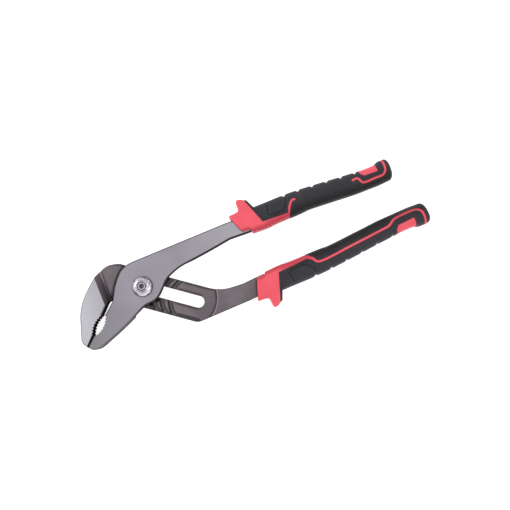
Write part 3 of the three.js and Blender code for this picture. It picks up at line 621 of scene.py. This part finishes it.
class Finish:
    """A node material: add() makes a node, linking sockets and setting plain values on its inputs."""

    def __init__(self, name):
        self.material = bpy.data.materials.new(name)
        self.material.use_nodes = True
        self.tree = self.material.node_tree
        self.tree.nodes.clear()
        self.output = self.tree.nodes.new("ShaderNodeOutputMaterial")
        self.place = self.add("ShaderNodeTexCoord")

    def add(self, kind, settings=None, **inputs):
        node = self.tree.nodes.new(kind)
        for key, value in (settings or {}).items():
            setattr(node, key, value)
        for key, value in inputs.items():
            socket = node.inputs[int(key[1:]) if key[1:].isdigit() else key.replace("_", " ")]
            if isinstance(value, bpy.types.NodeSocket):
                self.tree.links.new(value, socket)
            else:
                socket.default_value = value
        return node

    def math(self, operation, first, second=0.0):
        return self.add("ShaderNodeMath", {"operation": operation}, i0=first, i1=second).outputs[0]

    def product(self, first, second):
        return self.math("MULTIPLY", first, second)

    def measured(self, operation, first, second):
        """One number from two vectors, such as their dot product or their distance."""
        node = self.add("ShaderNodeVectorMath", {"operation": operation}, i0=first, i1=second)
        return node.outputs["Value"]

    def ranged(self, value, low, high, to_low=0.0, to_high=1.0):
        """The value between two limits, as 0 to 1 or as another range, and held at its ends."""
        limits = {"From_Min": low, "From_Max": high, "To_Min": to_low, "To_Max": to_high}
        return self.add("ShaderNodeMapRange", Value=value, **limits).outputs[0]

    def mixed(self, factor, first, second):
        node = self.add("ShaderNodeMix", {"data_type": "RGBA"}, i0=factor, i6=first, i7=second)
        return node.outputs[2]

    def noise(self, size, stretch=(1, 1, 1), detail=NOISE_DETAIL):
        """Noise in the part's own frame, with features of the given size in millimetres."""
        scale = [value / (size * MM) for value in stretch]
        mapping = self.add("ShaderNodeMapping", Vector=self.place.outputs["Object"], Scale=scale)
        return self.add("ShaderNodeTexNoise", Vector=mapping.outputs[0], Scale=1.0, Detail=detail).outputs[0]

    def facing(self, axis):
        """How far the surface faces along an axis: along Z, 1 on the part's front and -1 on its back."""
        return self.add("ShaderNodeSeparateXYZ", Vector=self.place.outputs["Normal"]).outputs[axis]

    def flatness(self):
        """1 on faces that lie flat, front or back, and 0 on upright walls."""
        return self.math("ABSOLUTE", self.facing(Z))

    def facing_out(self):
        """How far the surface of a grip faces away from the other handle."""
        return self.product(self.facing(Y), self.math("SIGN", self.place_along(Y)))

    def place_along(self, axis):
        return self.add("ShaderNodeSeparateXYZ", Vector=self.place.outputs["Object"]).outputs[axis]

    def from_pivot(self, axis, start, end):
        """0 to 1 along an axis of the part, between two places in millimetres from the pivot."""
        return self.ranged(self.place_along(axis), pivot[axis] + start * MM, pivot[axis] + end * MM)

    def below(self, top, start, end):
        """0 to 1 between two depths, in millimetres below a height of the part's frame."""
        return self.ranged(self.place_along(Z), top - start * MM, top - end * MM)

    def openness(self, distance):
        """1 on open surfaces and less in corners and grooves, seen over a distance in millimetres."""
        node = self.add("ShaderNodeAmbientOcclusion", {"samples": CORNER_SAMPLES}, Distance=distance * MM)
        return node.outputs["AO"]

    def rounded_normal(self, radius):
        return self.add("ShaderNodeBevel", {"samples": EDGE_SAMPLES}, Radius=radius * MM).outputs[0]

    def rounded_edge(self, radius):
        """1 along edges and 0 on faces, where a rounding of the radius in millimetres would turn them."""
        plain = self.add("ShaderNodeNewGeometry").outputs["Normal"]
        cosine = self.measured("DOT_PRODUCT", self.rounded_normal(radius), plain)
        return self.ranged(cosine, *EDGE_COSINE)

    def edge_along(self, direction, radius):
        """1 beside the edges of a flat face that run along a direction, and 0 beside those across it."""
        rounded = self.rounded_normal(radius)
        along = self.math("ABSOLUTE", self.measured("DOT_PRODUCT", rounded, direction))
        across = self.math("ABSOLUTE", self.measured("DOT_PRODUCT", rounded, UP.cross(direction)))
        clear = self.math("SUBTRACT", across, self.product(along, EDGE_CROSSING))
        return self.ranged(clear, *EDGE_LEAN)

    def ring(self, centre, radius, width):
        """1 along a circle on the part's plan, with its centre taken from the pivot, in millimetres."""
        middle = Vector((pivot.x, pivot.y, 0)) + Vector((*centre, 0)) * MM
        plan = self.add("ShaderNodeMapping", Vector=self.place.outputs["Object"], Scale=(1, 1, 0)).outputs[0]
        away = self.measured("DISTANCE", plan, middle)
        off = self.math("ABSOLUTE", self.math("SUBTRACT", away, radius * MM))
        return self.ranged(off, width / 2 * MM, width / 4 * MM)

    def pointed_edge(self, low, high):
        return self.ranged(self.add("ShaderNodeNewGeometry").outputs["Pointiness"], low, high)

    def bump(self, height, depth):
        return self.add("ShaderNodeBump", Height=height, Distance=depth * MM, Strength=1.0).outputs[0]

    def shaded(self, **inputs):
        shader = self.add("ShaderNodeBsdfPrincipled", **inputs)
        self.tree.links.new(shader.outputs[0], self.output.inputs[0])
        return self.material


def satin_steel():
    """Front lever: ground and satin-plated faces with grinding lines, darker towards the tip, with a painted
    highlight along the arm, and painted shade on its sides, edges and corners.
    """
    finish = Finish("satin_steel")
    lines = finish.noise(SATIN_LINES, SATIN_LINE_STRETCH)
    clouds = finish.noise(SATIN_CLOUDS)
    face = finish.mixed(finish.ranged(clouds, *CLOUD_RANGE), GROUND_STEEL_DEEP, GROUND_STEEL)
    face = finish.mixed(finish.ranged(lines, *MARK_RANGE, 0, SATIN_LINE_TINT), face, GROUND_STEEL_DEEP)
    tip = (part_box("front_lever")[0].x - pivot.x) / MM
    face = finish.mixed(finish.from_pivot(X, TIP_TONE_START, tip), face, GROUND_STEEL_TIP)
    # Painted highlight: the arm lighter further from the pivot
    face = finish.mixed(finish.from_pivot(X, *ARM_HIGHLIGHT), face, GROUND_STEEL_ARM_HIGHLIGHT)
    # Painted shade: the walls darker than the faces, lighter on the jaw
    side = finish.mixed(finish.from_pivot(X, *JAW_SIDE_SHADE_CHANGE), GROUND_STEEL_SHADE, GROUND_STEEL_JAW_SIDE_SHADE)
    colour = finish.mixed(finish.ranged(finish.flatness(), *SATIN_FLAT), side, face)
    # Painted shade as a dark line along every edge
    outline = finish.product(finish.rounded_edge(SATIN_EDGE), SATIN_EDGE_TINT)
    colour = finish.mixed(outline, colour, side)
    # Painted shade in corners and creases
    clear_of_corner_shade = finish.ranged(finish.openness(SATIN_CORNER), *SATIN_OPEN)
    colour = finish.mixed(clear_of_corner_shade, GROUND_STEEL_SHADE, colour)
    return finish.shaded(
        Base_Color=colour,
        Metallic=finish.ranged(finish.flatness(), *SATIN_METAL),
        Roughness=finish.ranged(lines, *LINE_RANGE, *SATIN_ROUGHNESS),
        Specular_IOR_Level=0.0,
        Normal=finish.bump(lines, SATIN_RELIEF),
    )


def forged_faces(finish, ground_place, above_grooves):
    """Flat faces of the rear lever: clouded, ground bright on the front of the jaw with a painted highlight
    towards its tip, and darker in the grooves and on its back.
    """
    clouds = finish.noise(DARK_CLOUDS)
    face = finish.mixed(finish.ranged(clouds, *CLOUD_RANGE), DARK_STEEL_DEEP, DARK_STEEL)
    tone_start = (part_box("rear_lever")[0].x - pivot.x) / MM + JAW_HIGHLIGHT_FROM_TIP
    # Painted highlight: the ground jaw face brighter towards the tip
    ground = finish.mixed(finish.from_pivot(X, tone_start, JAW_HIGHLIGHT_END), JAW_FACE_HIGHLIGHT, JAW_FACE_DEEP)
    face = finish.mixed(ground_place, face, ground)
    behind = finish.ranged(finish.facing(Z), *DARK_BACK)
    return finish.mixed(finish.math("MAXIMUM", above_grooves, behind), DARK_STEEL_GROOVE, face)


def bar_shadows(finish, colour, above_grooves):
    """The slotted bar with painted shade as dark lines along its edges, and a painted shadow at the foot of
    the front lever.
    """
    bar = finish.product(above_grooves, finish.from_pivot(Z, *BAR_TOP))
    bar = finish.product(finish.ranged(finish.flatness(), *BAR_FLAT), bar)
    # Painted shade as dark lines along the slot's edges
    slot_edge_shade = finish.product(finish.edge_along(slide, SLOT_EDGE), bar)
    colour = finish.mixed(finish.product(slot_edge_shade, SLOT_EDGE_TINT), colour, DARK_STEEL_EDGE_SHADE)
    walled = finish.product(finish.ranged(finish.openness(WALL_REACH), *WALL_OPEN), bar)
    return finish.mixed(walled, colour, WALL_SHADOW)


def dark_steel():
    """Rear lever: dark satin forging, with painted shade on its walls, slopes, ramp, edges and corners, and
    painted highlights on the top of the ramp and along the brow of its step.
    """
    finish = Finish("dark_steel")
    lines = finish.noise(DARK_LINES, DARK_LINE_STRETCH)
    ground_place = finish.below(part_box("rear_lever")[1].z, *GROUND_DEPTH)
    above_grooves = finish.from_pivot(Z, *GROOVE_RISE)
    # Painted shade: walls and slopes darker than flat faces, the ramp less dark
    slope = finish.ranged(finish.flatness(), *DARK_SLOPE)
    colour = finish.mixed(slope, forged_faces(finish, ground_place, above_grooves), DARK_STEEL_SHADE)
    leaning = finish.product(slope, finish.ranged(finish.flatness(), *RAMP_SLOPE))
    ramp = finish.product(leaning, finish.from_pivot(Z, *RAMP_FOOT))
    colour = finish.mixed(ramp, colour, DARK_STEEL_RAMP_SHADE)
    edge_tint = finish.ranged(ground_place, 0, 1, DARK_EDGE_TINT, 0)
    # Painted shade as a dark line along every edge, less on the ground jaw face
    outline = finish.product(finish.rounded_edge(DARK_EDGE), edge_tint)
    colour = finish.mixed(outline, colour, DARK_STEEL_EDGE_SHADE)
    # Painted shade in corners and creases
    clear_of_corner_shade = finish.ranged(finish.openness(DARK_CORNER), *DARK_OPEN)
    colour = finish.mixed(clear_of_corner_shade, DARK_STEEL_CORNER_SHADE, colour)
    colour = bar_shadows(finish, colour, above_grooves)
    # Painted highlights along the top of the ramp and the brow of the step
    edge_highlight = finish.product(ramp, finish.from_pivot(Z, *RAMP_HIGHLIGHT_RISE))
    brow = finish.ring(STEP_CENTRE, STEP_BROW_RADIUS, STEP_BROW_WIDTH)
    brow = finish.product(brow, finish.from_pivot(Z, *STEP_BROW_RISE))
    colour = finish.mixed(finish.math("MAXIMUM", edge_highlight, brow), colour, PAINTED_EDGE_HIGHLIGHT)
    pits = finish.product(finish.noise(DARK_PITS), DARK_PIT_SHARE)
    return finish.shaded(
        Base_Color=colour,
        Metallic=finish.ranged(finish.flatness(), *DARK_METAL),
        Roughness=finish.ranged(lines, *LINE_RANGE, *DARK_ROUGHNESS),
        Specular_IOR_Level=0.0,
        Normal=finish.bump(finish.math("ADD", pits, lines), DARK_RELIEF),
    )


def chrome():
    """Nut: polished plating with faint turning marks, patchy painted reflections on its slopes, and painted
    shade on its walls, edges and corners.
    """
    finish = Finish("chrome")
    marks = finish.noise(TURNED_MARKS, TURNED_STRETCH)
    tarnish = finish.noise(CHROME_TARNISH)
    face = finish.mixed(finish.ranged(tarnish, *CHROME_TARNISH_RANGE), NUT_CHROME, NUT_CHROME_DEEP)
    # Painted reflection: dark patches on the slopes
    reflection_patches = finish.noise(CHROME_REFLECTION_PATCHES, detail=CHROME_REFLECTION_DETAIL)
    slopes = finish.mixed(finish.ranged(reflection_patches, *CHROME_REFLECTION_RANGE), NUT_CHROME_DARK_REFLECTION, NUT_CHROME)
    colour = finish.mixed(finish.ranged(finish.flatness(), *CHROME_FLAT), slopes, face)
    # Painted shade on the walls, as a dark line along every edge, and in corners
    colour = finish.mixed(finish.ranged(finish.flatness(), *CHROME_SIDE), NUT_CHROME_SHADE, colour)
    outline = finish.product(finish.rounded_edge(CHROME_EDGE), CHROME_EDGE_TINT)
    colour = finish.mixed(outline, colour, NUT_CHROME_SHADE)
    clear_of_corner_shade = finish.ranged(finish.openness(TURNED_CORNER), *CHROME_OPEN)
    colour = finish.mixed(clear_of_corner_shade, NUT_CHROME_SHADE, colour)
    return finish.shaded(
        Base_Color=colour,
        Metallic=1.0,
        Roughness=finish.ranged(tarnish, *MARK_RANGE, *CHROME_ROUGHNESS),
        Normal=finish.bump(marks, TURNED_RELIEF),
    )


def bolt_steel():
    """Bolt: machined steel with turning marks, and painted shade in its recess and corners."""
    finish = Finish("bolt_steel")
    marks = finish.noise(TURNED_MARKS, TURNED_STRETCH)
    sunk = finish.below(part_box("pivot_bolt")[1].z, *BOLT_RECESS_DEPTH)
    # Painted shade on the floor of the recess
    recess = finish.product(sunk, finish.ranged(finish.facing(Z), *BOLT_RECESS_FLAT))
    colour = finish.mixed(recess, BOLT_STEEL, BOLT_RECESS_SHADE)
    # Painted shade in corners and creases
    clear_of_corner_shade = finish.ranged(finish.openness(TURNED_CORNER), *BOLT_OPEN)
    colour = finish.mixed(clear_of_corner_shade, BOLT_CORNER_SHADE, colour)
    return finish.shaded(
        Base_Color=colour,
        Metallic=1.0,
        Roughness=finish.ranged(marks, *MARK_RANGE, *BOLT_ROUGHNESS),
        Normal=finish.bump(marks, TURNED_RELIEF),
    )


def red_plastic():
    """Hard core of the grips: satin moulded plastic with a fine spark grain, and painted shade on the side
    facing the other handle.
    """
    finish = Finish("red_plastic")
    grain = finish.noise(RED_GRAIN)
    clouds = finish.noise(RED_CLOUDS)
    colour = finish.mixed(finish.ranged(clouds, *CLOUD_RANGE), RED_DEEP, RED)
    # Painted shade on the side facing the other handle
    colour = finish.mixed(finish.ranged(finish.facing_out(), *RED_INNER_SHADE_SIDE), RED_INNER_SHADE, colour)
    return finish.shaded(
        Base_Color=colour,
        Roughness=finish.ranged(grain, *MARK_RANGE, *RED_ROUGHNESS),
        Specular_IOR_Level=RED_SHINE,
        Normal=finish.bump(grain, RED_RELIEF),
    )


def black_rubber():
    """Soft cover of the grips: matt moulding with a pebbled grain, darker on the side facing the other
    handle, with a patchy painted highlight along its convex edges.
    """
    finish = Finish("black_rubber")
    grain = finish.noise(BLACK_GRAIN)
    clouds = finish.ranged(finish.noise(BLACK_CLOUDS), *BLACK_HIGHLIGHT_CLOUDS)
    # Painted highlight in patches along convex edges
    edge_highlight = finish.product(finish.pointed_edge(*BLACK_HIGHLIGHT_EDGE), clouds)
    base = finish.mixed(finish.ranged(finish.facing_out(), *BLACK_OUTER_SIDE), BLACK, BLACK_OUTER)
    colour = finish.mixed(finish.product(edge_highlight, BLACK_HIGHLIGHT_TINT), base, BLACK_EDGE_HIGHLIGHT)
    return finish.shaded(
        Base_Color=colour,
        Roughness=finish.ranged(grain, *MARK_RANGE, *BLACK_ROUGHNESS),
        Specular_IOR_Level=BLACK_SHINE,
        Normal=finish.bump(grain, BLACK_RELIEF),
    )


steel = {
    "front_lever": satin_steel(),
    "rear_lever": dark_steel(),
    "pivot_bolt": bolt_steel(),
    "pivot_nut": chrome(),
}
red = red_plastic()
black = black_rubber()


# Steel pieces keep their CAD shape, and all but the thin nut have their edges broken a little

def weld(piece, name):
    modifier = piece.modifiers.new(name, "WELD")
    modifier.merge_threshold = WELD * MM


def break_edges(piece):
    flat = piece.modifiers.new("flat", "DECIMATE")
    flat.decimate_type = "DISSOLVE"
    flat.angle_limit = math.radians(FLAT_ANGLE)
    edge = piece.modifiers.new("edge", "BEVEL")
    edge.width = STEEL_EDGE * MM
    edge.segments = STEEL_EDGE_SEGMENTS
    edge.limit_method = "ANGLE"
    edge.angle_limit = math.radians(EDGE_ANGLE)
    weld(piece, "seal")


def dress(node, material):
    piece = frame["nodes"][node]
    piece.data.materials.clear()
    piece.data.materials.append(material)
    piece.data.shade_smooth()
    weld(piece, "weld")
    if node == "pivot_nut":
        piece.data.set_sharp_from_angle(angle=math.radians(EDGE_ANGLE))
    else:
        break_edges(piece)
    even = piece.modifiers.new("even", "WEIGHTED_NORMAL")
    even.weight = LARGE_FACE_WEIGHT
    even.keep_sharp = True


for node, material in steel.items():
    dress(node, material)


# Grips replace the plain CAD mouldings

for side, handle in (("front", front_handle), ("rear", rear_handle)):
    for part, build, material, slot in (
        ("core", grip_red, red, "red_plastic"),
        ("cover", grip_black, black, "black_rubber"),
    ):
        piece = build(handle, f"{side}_grip_{part}_moulded")
        piece.data.materials.clear()
        piece.data.materials.append(material)
        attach(piece, side)
        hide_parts(f"{side}_grip_{part}")


# White studio

def seen_directly(tree):
    """1 where the camera, a mirror or clear material looks at the background, and 0 for its light."""
    path = tree.nodes.new("ShaderNodeLightPath")
    seen = path.outputs["Is Camera Ray"]
    for name in ("Is Glossy Ray", "Is Transmission Ray"):
        either = tree.nodes.new("ShaderNodeMath")
        either.operation = "MAXIMUM"
        tree.links.new(seen, either.inputs[0])
        tree.links.new(path.outputs[name], either.inputs[1])
        seen = either.outputs[0]
    return seen


def studio_world():
    world = bpy.data.worlds.new("studio")
    bpy.context.scene.world = world
    world.use_nodes = True
    tree = world.node_tree
    tree.nodes.clear()
    shown = tree.nodes.new("ShaderNodeBackground")
    light = tree.nodes.new("ShaderNodeBackground")
    light.inputs["Strength"].default_value = SOFT_LIGHT
    for background in (shown, light):
        background.inputs["Color"].default_value = WHITE
    mix = tree.nodes.new("ShaderNodeMixShader")
    output = tree.nodes.new("ShaderNodeOutputWorld")
    tree.links.new(seen_directly(tree), mix.inputs[0])
    tree.links.new(light.outputs[0], mix.inputs[1])
    tree.links.new(shown.outputs[0], mix.inputs[2])
    tree.links.new(mix.outputs[0], output.inputs[0])


def studio_floor():
    builder = bmesh.new()
    bmesh.ops.create_grid(builder, x_segments=1, y_segments=1, size=FLOOR_SIZE / 2)
    floor = new_object("floor", builder)
    floor.location.z = -FLOOR_DROP
    finish = Finish("floor")
    glow = finish.product(seen_directly(finish.tree), FLOOR_GLOW)
    finish.shaded(
        Base_Color=FLOOR,
        Roughness=FLOOR_ROUGHNESS,
        Specular_IOR_Level=0.0,
        Emission_Color=WHITE,
        Emission_Strength=glow,
    )
    floor.data.materials.append(finish.material)


def studio_lamps():
    for name, place, size, power in LAMPS:
        lamp = bpy.data.lights.new(name, "AREA")
        lamp.size = size
        lamp.energy = power
        holder = bpy.data.objects.new(name, lamp)
        holder.location = place
        holder.rotation_euler = (-Vector(place)).to_track_quat("-Z", "Y").to_euler()
        bpy.context.scene.collection.objects.link(holder)


def photo_camera():
    lens = bpy.data.cameras.new("camera")
    lens.lens = LENS
    lens.sensor_width = SENSOR
    holder = bpy.data.objects.new("camera", lens)
    roll, tilt = math.radians(CAMERA_ROLL), math.radians(CAMERA_TILT)
    right = Vector((math.cos(roll), -math.sin(roll), 0))
    picture_up = Vector((math.sin(roll), math.cos(roll), 0))
    back = Vector((0, 0, math.cos(tilt))) - picture_up * math.sin(tilt)
    place = pivot + (Vector(LOOK_AT) + back * CAMERA_DISTANCE) * MM
    axes = Matrix((right, back.cross(right), back)).transposed().to_4x4()
    holder.matrix_world = Matrix.Translation(place) @ axes
    bpy.context.scene.collection.objects.link(holder)
    bpy.context.scene.camera = holder


studio_world()
studio_floor()
studio_lamps()
photo_camera()
bpy.context.scene.view_settings.view_transform = "Standard"
